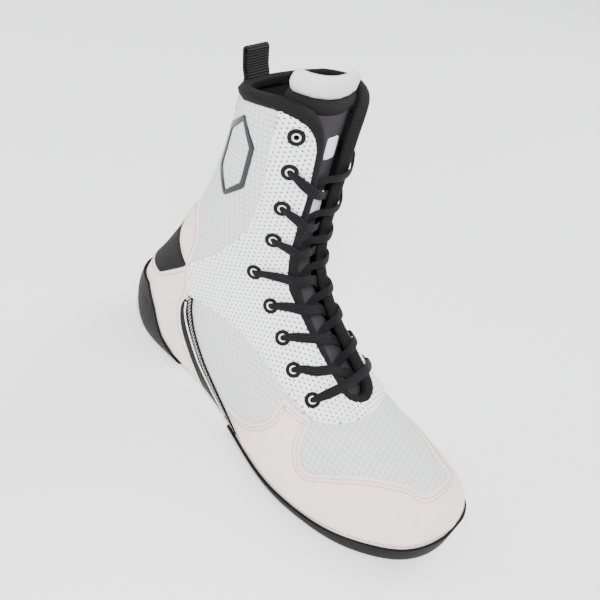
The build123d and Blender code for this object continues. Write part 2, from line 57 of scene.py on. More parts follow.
# ---------------------------------------------------------------- the boot's outer form
# top x z, bottom x z, lateral and medial half widths, centre line, waist, powers above and below
SECTIONS = np.array([
    (289.2, 26, 289.2, 18, 4, 4, 11, 0.45, 2.0, 2.0),
    (285, 38, 286, 8, 22, 21, 11, 0.35, 2.0, 2.4),
    (275, 47, 276, 3, 37, 33, 10, 0.35, 2.1, 3.0),
    (258, 53, 258, -1, 47, 41, 8, 0.33, 2.1, 3.4),
    (236, 59, 236, -2, 54, 45, 5, 0.32, 2.1, 3.6),
    (212, 69, 211, -2, 57, 47, 2, 0.32, 2.0, 3.6),
    (188, 82, 185, -2, 57, 46, 0, 0.33, 1.9, 3.6),
    (166, 97, 155, -2, 53, 42, 0, 0.35, 1.9, 3.4),
    (150, 110, 122, -2, 45, 38, 0, 0.38, 1.9, 3.2),
    (139, 121, 86, -2, 39, 36, 0, 0.42, 2.0, 3.0),
    (132, 131, 48, -4, 36, 35, 0, 0.44, 2.0, 2.8),
    (127, 140, 12, -2, 35, 34, 0, 0.46, 2.1, 2.6),
    (124, 150, -2, 24, 34, 34, 0, 0.48, 2.1, 2.4),
    (121, 162, 1, 54, 34, 34, 0, 0.50, 2.1, 2.2),
    (119, 176, 13, 84, 34, 34, 0, 0.50, 2.1, 2.1),
    (117, 192, 25, 116, 35, 35, 0, 0.50, 2.1, 2.0),
    (115, 210, 34, 148, 36, 36, 0, 0.50, 2.1, 2.0),
    (113, 230, 39, 180, 37, 37, 0, 0.50, 2.1, 2.0),
    (111, 252, 41, 210, 38, 38, 0, 0.50, 2.1, 2.0),
    (110, 276, 41, 236, 38, 38, 0, 0.50, 2.1, 2.0),
])
ROWS_PER_SECTION = 13
COLUMNS = 192


def form(s, a):
    """Points of the outer form, in side-view millimetres; a = 0 is the ridge, a < 0 lateral."""
    last = len(SECTIONS) - 1
    s = np.clip(s, 0, last - 1e-9)
    i = s.astype(int)
    f = (s - i)[:, None]
    p0, p1, p2, p3 = (SECTIONS[np.clip(i + k, 0, last)] for k in (-1, 0, 1, 2))
    row = p1 + 0.5 * f * (p2 - p0 + f * (2 * p0 - 5 * p1 + 4 * p2 - p3 + f * (3 * (p1 - p2) + p3 - p0)))
    tx, tz, bx, bz, lateral, medial, centre, waist, crown, base = row.T
    upper = np.cos(a) >= 0
    power = np.where(upper, crown, base)
    reach = np.abs(np.cos(a)) ** (2 / power)
    share = np.where(upper, waist + (1 - waist) * reach, waist * (1 - reach))
    side = np.abs(np.sin(a)) ** (2 / power)
    y = centre + np.where(a < 0, -lateral, medial) * side
    return np.stack([bx + (tx - bx) * share, y, bz + (tz - bz) * share], 1)


def form_normal(s, a):
    """Outward unit normals of the form."""
    ds, da = 0.02, 0.012
    along = form(s + ds, a) - form(s - ds, a)
    around = form(s, a + da) - form(s, a - da)
    normal = np.cross(around, along)
    return normal / np.maximum(np.linalg.norm(normal, axis=1), 1e-9)[:, None]


GRID_S = np.linspace(0.02, len(SECTIONS) - 1, ROWS_PER_SECTION * (len(SECTIONS) - 1) + 1)
GRID_A = np.linspace(-pi, pi, COLUMNS, endpoint=False) + pi / COLUMNS
S, A = (g.ravel() for g in np.meshgrid(GRID_S, GRID_A, indexing="ij"))
P = form(S, A)
X, Y, Z = P.T
N = form_normal(S, A)
SHAPE = (len(GRID_S), COLUMNS)


def walk_round():
    """The form's points as a grid, and how far round its row each of them is."""
    grid = P.reshape(*SHAPE, 3)
    step = np.linalg.norm(np.roll(grid, -1, 1) - grid, axis=2)
    return grid, np.concatenate([np.zeros((SHAPE[0], 1)), np.cumsum(step[:, :-1], axis=1)], 1)


def unrolled():
    """Cloth coordinates in millimetres: each side of the boot laid flat from its widest line."""
    grid, walk = walk_round()
    out = np.zeros((*SHAPE, 2))
    for sign in (-1, 1):
        mid = np.argmin(np.abs(GRID_A - sign * pi / 2))
        top = grid[:, np.argmin(np.abs(GRID_A))][:, [0, 2]]
        bottom = grid[:, 0][:, [0, 2]]
        rise = (top - bottom) / np.linalg.norm(top - bottom, axis=1)[:, None]
        length = (walk - walk[:, mid:mid + 1]) * -sign
        side = np.sign(GRID_A) == sign
        flat = grid[:, mid][:, None, [0, 2]] + length[:, :, None] * rise[:, None, :]
        out[:, side] = flat[:, side]
    return out.reshape(-1, 2)


def draped_from_ridge():
    """Cloth coordinates in millimetres: along the ridge, and round the boot from it."""
    grid, walk = walk_round()
    middle = COLUMNS // 2
    walk = walk - walk[:, middle:middle + 1]
    along = np.repeat(grid[:, middle, 0][:, None], COLUMNS, 1) * 0.4 + grid[:, :, 0] * 0.6
    return np.stack([along, walk], 2).reshape(-1, 2)


CLOTH = unrolled()
VAMP_FROM = 176.0
CLOTH_OVER_VAMP = np.where((X > VAMP_FROM)[:, None], draped_from_ridge(), CLOTH)
tree = kdtree.KDTree(len(P))
for index, position in enumerate(P):
    tree.insert(position, index)
tree.balance()


def on_form(x, y, z):
    """Nearest point of the form and its normal."""
    near = tree.find_n((x, y, z), 6)
    weight = np.array([1 / (hit[2] + 0.3) ** 2 for hit in near])
    ids = [hit[1] for hit in near]
    normal = (N[ids] * weight[:, None]).sum(0)
    normal /= np.linalg.norm(normal)
    base = (P[ids] * weight[:, None]).sum(0) / weight.sum()
    guess = np.array([x, y, z])
    return guess - normal * np.dot(guess - base, normal), normal


# ---------------------------------------------------------------- regions on the form
def smooth_outline(points, corners=(), steps=7):
    """A closed outline through given points, rounded except at the numbered corners."""
    pts = [np.array(p, float) for p in points]
    n, out = len(pts), []
    for i in range(n):
        p0, p1, p2, p3 = pts[i - 1], pts[i], pts[(i + 1) % n], pts[(i + 2) % n]
        m1 = (p2 - p1) if i in corners else (p2 - p0) / 2
        m2 = (p2 - p1) if (i + 1) % n in corners else (p3 - p1) / 2
        for k in range(steps):
            t = k / steps
            out.append((2 * t**3 - 3 * t**2 + 1) * p1 + (t**3 - 2 * t**2 + t) * m1
                       + (3 * t**2 - 2 * t**3) * p2 + (t**3 - t**2) * m2)
    return np.array(out)


def inside(outline):
    """Signed side-view distance from each point of the form to a closed outline, positive inside."""
    best, crossings = np.full(len(X), 1e9), np.zeros(len(X), int)
    for (x0, z0), (x1, z1) in zip(outline, np.roll(outline, -1, 0)):
        dx, dz = x1 - x0, z1 - z0
        t = np.clip(((X - x0) * dx + (Z - z0) * dz) / max(dx * dx + dz * dz, 1e-9), 0, 1)
        best = np.minimum(best, np.hypot(X - x0 - t * dx, Z - z0 - t * dz))
        if abs(dz) > 1e-12:
            crossings += ((z0 > Z) != (z1 > Z)) & (X < x0 + (Z - z0) * dx / dz)
    return np.where(crossings % 2 == 1, best, -best)


def soft_min(a, b, radius):
    """The smaller of two distances, with the corner between them rounded."""
    blend = np.maximum(radius - np.abs(a - b), 0) / radius
    return np.minimum(a, b) - blend * blend * radius / 4


FLAT_END, TOE_SPRING_R, FEATHER = 205.0, 271.0, 9.1
SLOT_HALF = 13.0            # half the gap between the flaps, which opens on the lateral side
OPENS_ABOVE_VAMP, OPENS_AT_TOP, CLOSES_MEDIAL = 1.8, 3, 0.5
COLLAR = [(10, 226), (42, 228), (62, 238), (84, 245), (103, 247), (130, 246)]
THROAT = [(197, 40), (197, 110), (150, 150), (140, 180), (140, 300),
          (78, 300), (78, 165), (82, 120), (116, 88), (152, 66)]


def over_sole(height):
    """Distance above a line at that height over the ground, with the toe spring."""
    spring = TOE_SPRING_R - np.hypot(X - FLAT_END, Z - TOE_SPRING_R)
    return np.where(X > FLAT_END, spring, Z) - height


collar_line = np.interp(X, *np.array(COLLAR).T) - Z
in_throat = inside(np.array(THROAT, float))
off_centre = np.abs(Y)
rise_to_top = np.clip((Z - 190) / 45, 0, 1)
above_vamp = np.clip((Z - 85) / 40, 0, 1)
flap_edge = SLOT_HALF + np.where(Y < 0, OPENS_ABOVE_VAMP * above_vamp + OPENS_AT_TOP * rise_to_top,
                                 -CLOSES_MEDIAL * above_vamp)
THROAT_END, THROAT_END_R, THROAT_CORNER_R = 183.0, 13.0, 26
FAR = 99.0                  # a distance that never limits a region
round_end = np.hypot(X - THROAT_END, Y) - THROAT_END_R
beside_slot = np.where(X > THROAT_END, np.where(Z > 50, round_end, FAR),
                       np.maximum(off_centre - flap_edge, -in_throat))
opening = soft_min(collar_line, beside_slot, THROAT_CORNER_R)    # distance from the edge
above_feather = over_sole(FEATHER)
upper_zone = np.minimum(opening, above_feather)


# ---------------------------------------------------------------- mesh building
def make_object(name, verts, faces, uv=None):
    """A smooth-shaded object from side-view millimetres, with its cloth coordinates."""
    mesh = bpy.data.meshes.new(name)
    mesh.from_pydata([tuple(v) for v in (np.asarray(verts) - ORIGIN) * MM], [], faces)
    mesh.update()
    mesh.shade_smooth()
    if uv is not None:
        layer = mesh.uv_layers.new(name="cloth")
        loops = np.zeros(len(mesh.loops), int)
        mesh.loops.foreach_get("vertex_index", loops)
        layer.data.foreach_set("uv", np.asarray(uv, float)[loops].ravel())
    obj = bpy.data.objects.new(name, mesh)
    bpy.context.scene.collection.objects.link(obj)
    return obj


def clip(f, cloth):
    """The part of the form where f > 0: grid places (s, a), cloth coordinates, f, and faces."""
    rows, cols = SHAPE
    s_list, a_list, uv_list, f_list, faces = [], [], [], [], []
    known, cut = {}, {}

    def corner(i):
        if i not in known:
            known[i] = len(s_list)
            s_list.append(S[i])
            a_list.append(A[i])
            uv_list.append(cloth[i])
            f_list.append(f[i])
        return known[i]

    def cut_point(i, j):
        key = (min(i, j), max(i, j))
        if key not in cut:
            i, j = key
            t = f[i] / (f[i] - f[j])
            ai, aj = A[i], A[j]
            if abs(ai - aj) > pi:
                aj += tau if aj < ai else -tau
            cut[key] = len(s_list)
            s_list.append(S[i] + (S[j] - S[i]) * t)
            a_list.append(ai + (aj - ai) * t)
            uv_list.append(cloth[i] + (cloth[j] - cloth[i]) * t)
            f_list.append(0.0)
        return cut[key]

    grid = f.reshape(rows, cols) > 0
    right = np.roll(grid, -1, 1)
    count = grid[:-1].astype(int) + grid[1:] + right[:-1] + right[1:]
    for r, c in np.argwhere(count > 0):
        c1 = (c + 1) % cols
        quad = (r * cols + c, r * cols + c1, (r + 1) * cols + c1, (r + 1) * cols + c)
        if count[r, c] == 4:
            faces.append([corner(i) for i in quad])
            continue
        face = []
        for i, j in zip(quad, quad[1:] + quad[:1]):
            if f[i] > 0:
                face.append(corner(i))
            if (f[i] > 0) != (f[j] > 0):
                face.append(cut_point(i, j))
        if len(face) > 2:
            faces.append(face)
    if grid[0].all():                       # close the tip of the toe
        faces.append([corner(i) for i in range(cols - 1, -1, -1)])
    return np.array(s_list), np.array(a_list), np.array(uv_list), np.array(f_list), faces


def boundary(faces):
    """Directed edges that only one face has."""
    seen = {}
    for face in faces:
        for i, j in zip(face, face[1:] + face[:1]):
            seen[(i, j)] = True
    return [edge for edge in seen if (edge[1], edge[0]) not in seen]


def outward(points, normals, edges):
    """Unit directions that point out of a sheet along the form, at its boundary vertices."""
    out = np.zeros_like(points)
    for i, j in edges:
        direction = np.cross(points[j] - points[i], normals[i])
        length = np.linalg.norm(direction)
        if length > 1e-9:
            out[[i, j]] += direction / length
    size = np.linalg.norm(out, axis=1)
    return out / np.maximum(size, 1e-9)[:, None]


ROUND_EDGE = ((0.35, 0.10), (0.62, 0.32), (0.78, 0.62), (0.80, 1.0))    # reach out, share of the drop
MOST_ROUNDING = 1.2
PUFFED_EDGE = 0.3           # a puffed panel's thickness at its edge, as a share


def skin(name, region, base, thick, material, puff=0.0, node=None, body="boot", wrinkle=None, cloth=None):
    """A closed panel on the form where region > 0, from height base to base + thick.

    puff rounds its section over that many millimetres from the edge, and wrinkle adds to its height.
    Returns the object, and its sheet: points, normals, boundary edges and outward directions.
    """
    round_over = min(thick, MOST_ROUNDING)
    s, a, uv, f, faces = clip(region - 0.5 * round_over, CLOTH if cloth is None else cloth)
    f = f + 0.5 * round_over
    points, normals = form(s, a), form_normal(s, a)
    top = np.full(len(s), float(base + thick))
    if puff:
        depth = np.clip(f / puff, 0, 1)
        top = base + thick * (PUFFED_EDGE + (1 - PUFFED_EDGE) * np.sqrt(1 - (1 - depth) ** 2))
    if wrinkle is not None:
        top = top + wrinkle(points)
    upper = points + normals * top[:, None]
    edges = boundary(faces)
    out = outward(points, normals, edges)
    ids = sorted({i for edge in edges for i in edge})
    verts, uvs, all_faces = [upper], [uv], [list(face) for face in faces]
    total, previous = len(upper), {i: i for i in ids}
    for reach, drop in ROUND_EDGE:
        ring = {i: total + k for k, i in enumerate(ids)}
        height = top[ids] - drop * (top[ids] - base)
        verts.append(points[ids] + out[ids] * (reach * round_over) + normals[ids] * height[:, None])
        uvs.append(uv[ids])
        all_faces += [[previous[j], previous[i], ring[i], ring[j]] for i, j in edges]
        previous, total = ring, total + len(ids)
    inner = [i for i in range(len(s)) if i not in previous]
    under = dict(previous)
    under.update({i: total + k for k, i in enumerate(inner)})
    verts.append(points[inner] + normals[inner] * base)
    uvs.append(uv[inner])
    all_faces += [[under[i] for i in reversed(face)] for face in faces]
    obj = make_object(name, np.concatenate(verts), all_faces, np.concatenate(uvs))
    dress(obj, material, node, body)
    return obj, (points, normals, edges, out)


def dress(obj, material, node=None, body="boot"):
    """Gives a piece its material, the CAD nodes it replaces and the body it rides on."""
    obj.data.materials.append(material)
    if node:
        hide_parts(*([node] if isinstance(node, str) else node))
    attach(obj, body)


def loops_of(edges):
    """Boundary edges joined into ordered loops of vertex numbers."""
    after = {}
    for i, j in edges:
        after.setdefault(i, []).append(j)
    loops = []
    while after:
        start = next(iter(after))
        loop, current = [], start
        while current in after:
            loop.append(current)
            following = after[current].pop()
            if not after[current]:
                del after[current]
            current = following
        if len(loop) > 8:
            loops.append(loop)
    return loops


STITCH_PITCH, STITCH_LENGTH, STITCH_HEIGHT, THREAD = 2.3, 1.55, 1.3, 0.34


def stitching(name, sheet, inset, material, where):
    """A row of stitches at an inset from the edge of a panel, at the places where it shows."""
    points, normals, edges, out = sheet
    verts, faces = [], []
    for loop in loops_of(edges):
        line = points[loop] - out[loop] * inset
        closed = np.vstack([line, line[:1]])
        step = np.linalg.norm(np.diff(closed, axis=0), axis=1)
        walk = np.concatenate([[0], np.cumsum(step)])
        for distance in np.arange(0, walk[-1] - STITCH_LENGTH, STITCH_PITCH):
            ends = [np.array([np.interp(distance + d, walk, closed[:, k]) for k in range(3)])
                    for d in (0.0, STITCH_LENGTH)]
            if where((ends[0] + ends[1]) / 2):
                add_stitch(verts, faces, ends)
    dress(make_object(name, verts, faces), material)


def add_stitch(verts, faces, ends):
    """One thread stitch, a low rounded bead whose ends dip into the panel."""
    middle = (ends[0] + ends[1]) / 2
    _, normal = on_form(*middle)
    along = ends[1] - ends[0]
    size = np.linalg.norm(along)
    if size < 0.4:
        return
    along /= size
    across = np.cross(normal, along)
    start = len(verts)
    shares, lifts, widths = (0.0, 0.2, 0.5, 0.8, 1.0), (-0.25, 0.12, 0.2, 0.12, -0.25), (0.5, 1, 1, 1, 0.5)
    for share, lift, width in zip(shares, lifts, widths):
        centre = middle + along * (share - 0.5) * size + normal * (STITCH_HEIGHT + lift)
        for k in range(6):
            turn = tau * k / 6
            verts.append(centre + (across * cos(turn) + normal * sin(turn)) * THREAD * width)
    for ring in range(len(shares) - 1):
        for k in range(6):
            i, j = start + ring * 6 + k, start + ring * 6 + (k + 1) % 6
            faces.append([i, j, j + 6, i + 6])
    faces.append([start + k for k in range(5, -1, -1)])
    end = start + 6 * (len(shares) - 1)
    faces.append([end + k for k in range(6)])


# ---------------------------------------------------------------- procedural materials
def linear(level):
    """A screen colour from 0 to 255 as a linear one."""
    level /= 255
    return level / 12.92 if level <= 0.04045 else ((level + 0.055) / 1.055) ** 2.4


MATT_GLOSS, GLOSS = 0.15, 0.4       # specular level of dark matt materials, and of the others


class Shader:
    """A material under construction, with short forms for the nodes it needs."""

    def __init__(self, name, slot, rgb, rough, **sockets):
        self.material = bpy.data.materials.new(name)
        self.material["slot"] = slot
        self.material.use_nodes = True
        self.tree = self.material.node_tree
        self.base = self.tree.nodes["Principled BSDF"]
        self.rgb = tuple(linear(v) for v in rgb)
        self.base.inputs["Base Color"].default_value = (*self.rgb, 1)
        self.base.inputs["Roughness"].default_value = rough
        dark_and_matt = max(rgb) < 60 and rough > 0.5
        self.base.inputs["Specular IOR Level"].default_value = MATT_GLOSS if dark_and_matt else GLOSS
        for key, value in sockets.items():
            self.base.inputs[key.replace("_", " ")].default_value = value
        self.relief = None

    def link(self, source, target):
        self.tree.links.new(source, target)

    def math(self, operation, a, b=0.0, c=0.0):
        node = self.tree.nodes.new("ShaderNodeMath")
        node.operation = operation
        for socket, value in zip(node.inputs, (a, b, c)):
            if isinstance(value, (int, float)):
                socket.default_value = value
            else:
                self.link(value, socket)
        return node.outputs[0]

    def cloth(self):
        """Cloth coordinates in millimetres."""
        node = self.tree.nodes.new("ShaderNodeUVMap")
        node.uv_map = "cloth"
        split = self.tree.nodes.new("ShaderNodeSeparateXYZ")
        self.link(node.outputs[0], split.inputs[0])
        return split.outputs[0], split.outputs[1]

    def turned(self, degrees):
        """Cloth coordinates turned by an angle."""
        u, v = self.cloth()
        c, s = cos(radians(degrees)), sin(radians(degrees))
        return (self.math("ADD", self.math("MULTIPLY", u, c), self.math("MULTIPLY", v, s)),
                self.math("SUBTRACT", self.math("MULTIPLY", v, c), self.math("MULTIPLY", u, s)))

    def position(self):
        """Object coordinates in millimetres, as three sockets."""
        node = self.tree.nodes.new("ShaderNodeTexCoord")
        split = self.tree.nodes.new("ShaderNodeSeparateXYZ")
        self.link(node.outputs["Object"], split.inputs[0])
        return [self.math("MULTIPLY", out, 1000.0) for out in split.outputs]

    def lattice(self, u, v, wide, high):
        """Distance in millimetres to the nearest point of a staggered lattice."""
        best = None
        for shift in (0.0, 0.5):
            parts = []
            for value, pitch in ((u, wide), (v, high)):
                cell = self.math("ADD", self.math("DIVIDE", value, pitch), shift)
                off_middle = self.math("SUBTRACT", self.math("FRACT", cell), 0.5)
                parts.append(self.math("MULTIPLY", off_middle, pitch))
            squares = self.math("ADD", self.math("MULTIPLY", parts[0], parts[0]),
                                self.math("MULTIPLY", parts[1], parts[1]))
            distance = self.math("SQRT", squares)
            best = distance if best is None else self.math("MINIMUM", best, distance)
        return best

    def step(self, value, low, high):
        """0 below low, 1 above high, smooth between."""
        node = self.tree.nodes.new("ShaderNodeMapRange")
        node.interpolation_type = "SMOOTHSTEP"
        self.link(value, node.inputs["Value"])
        node.inputs["From Min"].default_value = low
        node.inputs["From Max"].default_value = high
        return node.outputs["Result"]

    def wave(self, value, pitch, shift=0.0):
        """A sine from 0 to 1 with a pitch in millimetres."""
        angle = self.math("MULTIPLY_ADD", value, tau / pitch, shift)
        return self.math("MULTIPLY_ADD", self.math("SINE", angle), 0.5, 0.5)

    def noise(self, scale, detail):
        """Noise with features of about 1/scale millimetres."""
        join = self.tree.nodes.new("ShaderNodeCombineXYZ")
        for socket, value in zip(join.inputs, self.position()):
            self.link(value, socket)
        node = self.tree.nodes.new("ShaderNodeTexNoise")
        self.link(join.outputs[0], node.inputs["Vector"])
        node.inputs["Scale"].default_value = scale
        node.inputs["Detail"].default_value = detail
        return node.outputs["Fac"]

    def tint(self, mask, rgb):
        """Base colour goes to rgb where the mask is 1."""
        node = self.tree.nodes.new("ShaderNodeMix")
        node.data_type = "RGBA"
        self.link(mask, node.inputs["Factor"])
        node.inputs["A"].default_value = (*self.rgb, 1)
        node.inputs["B"].default_value = (*(linear(v) for v in rgb), 1)
        self.link(node.outputs["Result"], self.base.inputs["Base Color"])

    def bump(self, height, depth_mm):
        """Adds relief, with height from 0 to 1 standing depth_mm high."""
        node = self.tree.nodes.new("ShaderNodeBump")
        node.inputs["Strength"].default_value = 1.0
        node.inputs["Distance"].default_value = depth_mm * MM
        self.link(height, node.inputs["Height"])
        if self.relief is not None:
            self.link(self.relief, node.inputs["Normal"])
        self.relief = node.outputs["Normal"]
        self.link(self.relief, self.base.inputs["Normal"])
        return self


def air_mesh():
    """White mesh in a checker of two rib directions, with a groove between the squares, and painted shade in
    the grooves and between the ribs.
    """
    m = Shader("air_mesh", "air_mesh", (240, 240, 241), 0.8, Sheen_Weight=0.2)
    u, v = m.turned(12)
    block = 3.5
    checker = m.math("MULTIPLY", m.math("SINE", m.math("MULTIPLY", u, pi / block)),
                     m.math("SINE", m.math("MULTIPLY", v, pi / block)))
    across = m.step(checker, -0.06, 0.06)
    ribs_u, ribs_v = m.wave(u, 0.88), m.wave(v, 0.88)
    ribs = m.math("ADD", m.math("MULTIPLY", across, ribs_u),
                  m.math("MULTIPLY", m.math("SUBTRACT", 1.0, across), ribs_v))
    groove = m.math("SUBTRACT", 1.0, m.step(m.math("ABSOLUTE", checker), 0.02, 0.28))
    # painted shade: the hollows between the ribs and the grooves between the squares are tinted darker
    dark = m.math("MAXIMUM", m.math("MULTIPLY", m.math("SUBTRACT", 1.0, ribs), 0.55), groove)
    m.tint(dark, (205, 205, 209))
    m.bump(m.step(m.math("ABSOLUTE", checker), 0.0, 0.7), 0.5).bump(ribs, 0.2)
    return m.material


def perforated_film():
    """White film with a staggered pattern of small dark holes."""
    m = Shader("perforated_film", "perforated_film", (246, 246, 247), 0.4)
    u, v = m.turned(28)
    cell = m.lattice(u, v, 3.3, 5.7)
    hole = m.math("SUBTRACT", 1.0, m.step(cell, 0.42, 0.62))
    m.tint(hole, (58, 56, 60))
    m.bump(m.step(cell, 0.3, 0.75), 0.4).bump(m.noise(0.9, 6), 0.1)
    return m.material


def suede():
    """Pale suede with slightly uneven colour."""
    m = Shader("suede", "suede", (241, 225, 217), 0.92, Sheen_Weight=0.35)
    patches = m.noise(0.05, 4)
    m.tint(m.step(patches, 0.35, 0.75), (235, 217, 208))
    m.bump(m.noise(3.0, 8), 0.14).bump(m.noise(0.35, 4), 0.25)
    return m.material


def woven(name, slot, rgb, pitch, depth, light=None):
    """A plain weave; given a light colour, its raised threads carry it as a painted highlight."""
    m = Shader(name, slot, rgb, 0.75)
    u, v = m.cloth()
    cell = m.lattice(u, v, pitch, pitch * 1.2)
    weave = m.math("SUBTRACT", 1.0, m.step(cell, 0.0, pitch * 0.6))
    # painted highlight: the raised threads are tinted towards the light colour
    if light:
        m.tint(m.math("MULTIPLY", weave, 0.75), light)
    m.bump(weave, depth).bump(m.noise(1.6, 4), 0.08)
    return m.material


def grosgrain():
    """The pull tab's webbing, ribbed across its length, with a painted highlight on the ribs."""
    m = Shader("tab_grosgrain", "black_webbing", (12, 11, 12), 0.7)
    _, v = m.cloth()
    rib = m.wave(v, 1.6)
    # painted highlight: the crests of the ribs are tinted lighter
    m.tint(m.math("MULTIPLY", rib, 0.7), (46, 44, 45))
    m.bump(rib, 0.5).bump(m.noise(2.5, 4), 0.06)
    return m.material


def rubber(name, slot, rgb=(12, 12, 13), rib_pitch=0.0, rib_top=0.0):
    """Black rubber; with a rib pitch, slanted ribs are moulded into it below rib_top."""
    m = Shader(name, slot, rgb, 0.62)
    if rib_pitch:
        x, _, z = m.position()
        slant = m.math("ADD", m.math("MULTIPLY", x, 0.75), m.math("MULTIPLY", z, 0.66))
        below = m.math("SUBTRACT", 1.0, m.step(z, rib_top - 1.5, rib_top))
        ribs = m.math("MULTIPLY", m.step(m.wave(slant, rib_pitch), 0.25, 0.6), below)
        m.bump(ribs, 1.1)
    m.tint(m.step(m.noise(0.06, 3), 0.4, 0.8), (19, 18, 19))
    m.bump(m.noise(1.8, 5), 0.06)
    return m.material


def plain(name, slot, rgb, rough, **sockets):
    """One colour with a fine grain."""
    m = Shader(name, slot, rgb, rough, **sockets)
    m.bump(m.noise(1.2, 4), 0.06)
    return m.material


def lace_weave():
    """A flat lace: lengthwise ribs crossed by two slanted rows of threads, with a painted highlight on the
    raised threads.
    """
    m = Shader("lace_braid", "lace_black", (12, 11, 12), 0.68)
    u, v = m.cloth()
    left = m.wave(m.math("ADD", v, m.math("MULTIPLY", u, 0.9)), 1.15)
    right = m.wave(m.math("SUBTRACT", v, m.math("MULTIPLY", u, 0.9)), 1.15)
    ribs = m.wave(u, 1.35)
    braid = m.math("MULTIPLY", m.math("MAXIMUM", left, right), ribs)
    # painted highlight: the raised threads of the braid are tinted lighter
    m.tint(m.math("MULTIPLY", braid, 0.7), (44, 42, 44))
    m.bump(ribs, 0.45).bump(braid, 0.15)
    return m.material


def rope_braid():
    """Black braid with slanted white flecks down its middle."""
    m = Shader("rope_braid", "braid", (12, 11, 12), 0.7)
    u, v = m.cloth()
    twist = m.wave(m.math("ADD", m.math("MULTIPLY", u, 1.3), v), 2.6)
    edge = m.math("SUBTRACT", 1.0, m.step(m.math("ABSOLUTE", u), 1.1, 1.35))
    m.tint(m.math("MULTIPLY", m.step(twist, 0.66, 0.82), edge), (206, 202, 200))
    m.bump(twist, 0.35)
    return m.material


# the light colours given to the woven fabrics are painted highlights on their raised threads
MATERIAL = {
    "mesh": air_mesh(),
    "film": perforated_film(),
    "suede": suede(),
    "binding": woven("binding_weave", "black_webbing", (12, 11, 12), 0.9, 0.25, light=(30, 28, 29)),
    "lining": woven("lining_mesh", "black_mesh", (12, 11, 12), 1.6, 0.3, light=(44, 42, 43)),
    "tongue": woven("tongue_mesh", "tongue_grey", (42, 41, 42), 1.3, 0.3, light=(72, 70, 72)),
    "lip": woven("lip_knit", "white_lining", (226, 224, 224), 1.1, 0.25),
    "trim": woven("trim_weave", "black_mesh", (12, 11, 12), 0.8, 0.25, light=(40, 38, 39)),
    "keeper": woven("keeper_tape", "white_print", (226, 226, 227), 0.9, 0.2),
    "foam": plain("foam_cells", "foam", (205, 202, 195), 0.9),
    "board": plain("board_fibre", "board", (196, 180, 150), 0.9),
    "heel_rubber": rubber("heel_rubber", "black_rubber", rib_pitch=3.2, rib_top=40.0),
    "toe_rubber": rubber("toe_rubber", "black_rubber", rib_pitch=2.6, rib_top=5.0),
    "tpu": rubber("scoop_tpu", "black_tpu", (18, 18, 19)),
    "midsole": plain("midsole_foam", "midsole_eva", (228, 220, 216), 0.8),
    "gloss": plain("badge_gloss", "gloss_black", (8, 8, 9), 0.3, Coat_Weight=0.15),
    "print": plain("print_white", "white_print", (228, 228, 230), 0.5),
    "washer": plain("washer_white", "washer_white", (232, 232, 232), 0.4),
    "steel": plain("shank_steel", "shank_steel", (150, 150, 152), 0.35, Metallic=0.9),
    "lace": lace_weave(),
    "braid": rope_braid(),
    "strap": woven("strap_weave", "black_webbing", (12, 11, 12), 1.1, 0.2, light=(38, 36, 37)),
    "ring": plain("ring_thread", "black_webbing", (15, 14, 15), 0.6),
    "tab": grosgrain(),
    "thread": plain("thread_white", "white_lining", (228, 222, 219), 0.65),
    "suede_thread": plain("thread_beige", "suede", (178, 148, 138), 0.7),
    "dark_thread": plain("thread_black", "black_webbing", (30, 29, 30), 0.65),
}

# ---------------------------------------------------------------- panel outlines, side view
TOE_CAP = [(143.6, -5), (143.6, 13.6), (122, 23.2), (145, 34), (158, 48), (162, 58), (161, 70.5),
           (184, 67.5), (187, 56), (192, 48), (200, 42), (213, 47), (230, 52), (253, 52),
           (268, 50), (276, 64), (320, 64), (320, -5)]
EYESTAY = [(85, 290), (88, 226), (89, 206), (91, 188), (88, 156), (74, 126), (54.5, 101), (59, 76),
           (83, 81), (114, 82), (140, 78), (158, 74.5), (176, 70.5), (190, 60), (230, 50),
           (230, 120), (160, 150), (150, 290)]
HEEL_STRAP = [(-20, 64), (8, 66), (27, 70), (51, 96.5), (38, 105), (26, 113), (-5, 119), (-20, 119)]
HEEL_FOXING = [(-20, -5), (98, -5), (90, 14), (65.5, 40.5), (56.4, 60.5), (58.2, 75.5), (53.6, 99),
               (52, 96), (27.2, 69.2), (8, 65.2), (-20, 63.2)]
ANKLE_PATCH = [(26.6, 114.4), (38.4, 106.3), (51, 98), (53.6, 102.5), (54, 126), (42, 142), (33, 131)]
SIDE_SCOOP = [(59.2, 75.4), (57, 61), (66, 41.5), (90.6, 15), (98, -5), (140, -5), (134, 8),
              (91.5, 28.6), (69.6, 49.8), (60.2, 75.6)]

EYELETS = [
    (99, 230, 30), (101, 207, 28), (103, 181, 26), (104, 156, 25), (100, 127, 27),
    (119, 111, 26), (137, 98, 28), (155, 86, 32), (176, 77, 33),
]
EYELET_CENTRES = [(k, side, *on_form(x, side * off, z))
                  for k, (x, z, off) in enumerate(EYELETS) for side in (-1, 1)]
HOLE_UNDER_WASHER = 2.7
to_eyelet = np.min([np.linalg.norm(P - centre, axis=1) for _, _, centre, _ in EYELET_CENTRES], axis=0)
near_eyelet = to_eyelet - HOLE_UNDER_WASHER
pierced = np.minimum(upper_zone, near_eyelet)


def panel_region(outline, corners):
    """Where a panel with this side-view outline lies on the upper."""
    return np.minimum(upper_zone, inside(smooth_outline(outline, corners)))


# ---------------------------------------------------------------- upper
MESH, FOAM_IN, LINING_IN = 1.2, 3.0, 4.1
skin("upper_mesh", pierced, -MESH, MESH, MATERIAL["mesh"], node=("quarter_lateral", "quarter_medial", "vamp"),
     cloth=CLOTH_OVER_VAMP)
skin("foam_layer", pierced - 0.4, -FOAM_IN, 1.65, MATERIAL["foam"],
     node=("heel_counter", "toe_puff", "collar_padding", "spacer_foam"))
skin("lining_shell", pierced - 0.2, -LINING_IN, 0.95, MATERIAL["lining"], node="lining")

